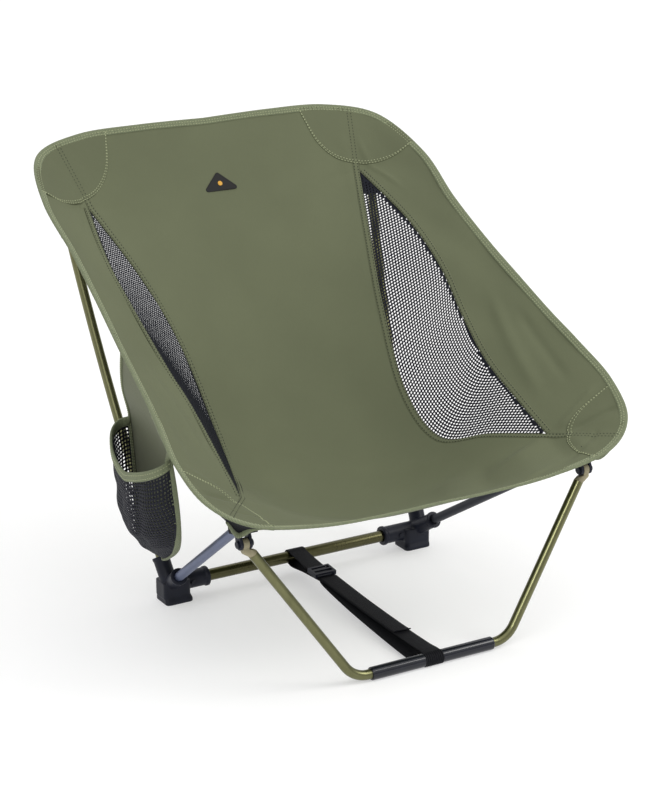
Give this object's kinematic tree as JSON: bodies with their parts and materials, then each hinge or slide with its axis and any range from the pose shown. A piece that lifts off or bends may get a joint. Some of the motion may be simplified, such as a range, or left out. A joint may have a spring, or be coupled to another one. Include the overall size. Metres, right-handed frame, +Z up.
{
  "type": "ultralight backpacking chair",
  "caption": "Low folding camp chair: a bucket seat of fabric and mesh slung on pole corners, with hubs, struts, a ground crossbar, a swinging front leg and a side pocket.",
  "frame": {"origin": "on the ground under the middle of the chair's bounding box", "axes": "+Z up, the sitter faces -Y, +X to the sitter's left, the side pocket on -X"},
  "size_m": [0.6358, 0.6195, 0.5872],
  "materials": {
    "pole_tube": "satin anodised",
    "crossbar_tube": "satin anodised",
    "strut_tube": "satin",
    "bare_metal": "satin",
    "hub_nylon": "fine moulded grain",
    "fitting": "satin",
    "sleeve": "gloss",
    "shock_cord": "braided",
    "webbing": "ribbed weave",
    "seat_fabric": "fine plain weave",
    "mesh_fabric": "open knit",
    "edge_tape": "ribbed tape",
    "badge": "woven label"
  },
  "bodies": {
    "frame": {"crossbar": "crossbar_tube", "crossbar_rivets": "bare_metal", "hub_left": "hub_nylon", "hub_right": "hub_nylon", "rear_pole_lower_left": "pole_tube", "rear_pole_lower_right": "pole_tube", "rear_pole_upper_left": "pole_tube", "rear_pole_upper_right": "pole_tube", "rear_ferrule_left": "bare_metal", "rear_ferrule_right": "bare_metal", "pole_tip_left": "hub_nylon", "pole_tip_right": "hub_nylon", "rear_cord_left": "shock_cord", "rear_cord_right": "shock_cord", "strut_lower_left": "strut_tube", "strut_lower_right": "strut_tube", "strut_upper_left": "strut_tube", "strut_upper_right": "strut_tube", "strut_ferrule_left": "bare_metal", "strut_ferrule_right": "bare_metal", "strut_cord_left": "shock_cord", "strut_cord_right": "shock_cord", "connector_left": "fitting", "connector_right": "fitting", "hinge_pin_left": "bare_metal", "hinge_pin_right": "bare_metal", "pin_washers": "hub_nylon", "strap": "webbing", "side_pocket_loop": "webbing"},
    "front_leg": {"leg_left": "pole_tube", "leg_right": "pole_tube", "leg_knuckle_left": "fitting", "leg_knuckle_right": "fitting", "leg_ferrule": "bare_metal", "leg_cord": "shock_cord", "ground_sleeve": "sleeve"},
    "slider": {"strap_slider": "hub_nylon"},
    "seat": {"seat_center": "seat_fabric", "seat_side_left": "seat_fabric", "seat_side_right": "seat_fabric", "mesh_left": "mesh_fabric", "mesh_right": "mesh_fabric", "seat_edge_tape": "edge_tape", "top_patches": "seat_fabric", "front_patches": "seat_fabric", "top_pocket_left": "webbing", "top_pocket_right": "webbing", "front_pocket_left": "webbing", "front_pocket_right": "webbing", "badge": "badge", "side_pocket_panel": "seat_fabric", "side_pocket_mesh": "mesh_fabric", "side_pocket_rim": "edge_tape", "side_pocket_tape": "edge_tape"}
  },
  "joints": [
    {"name": "front_leg_swing", "type": "hinge", "parent": "frame", "child": "front_leg", "pos_m": [0, -0.26319, 0.20528], "axis": [1, 0, 0], "range_deg": [0, 70], "deforming": ["strap"]},
    {"name": "strap_slider_slide", "type": "slide", "parent": "frame", "child": "slider", "axis": [0, -0.9963, -0.0864], "range_m": [0, 0.03]},
    {"name": "seat_lift", "type": "slide", "parent": "frame", "child": "seat", "axis": [0, 0.2845, 0.9587], "range_m": [0, 0.07]}
  ]
}
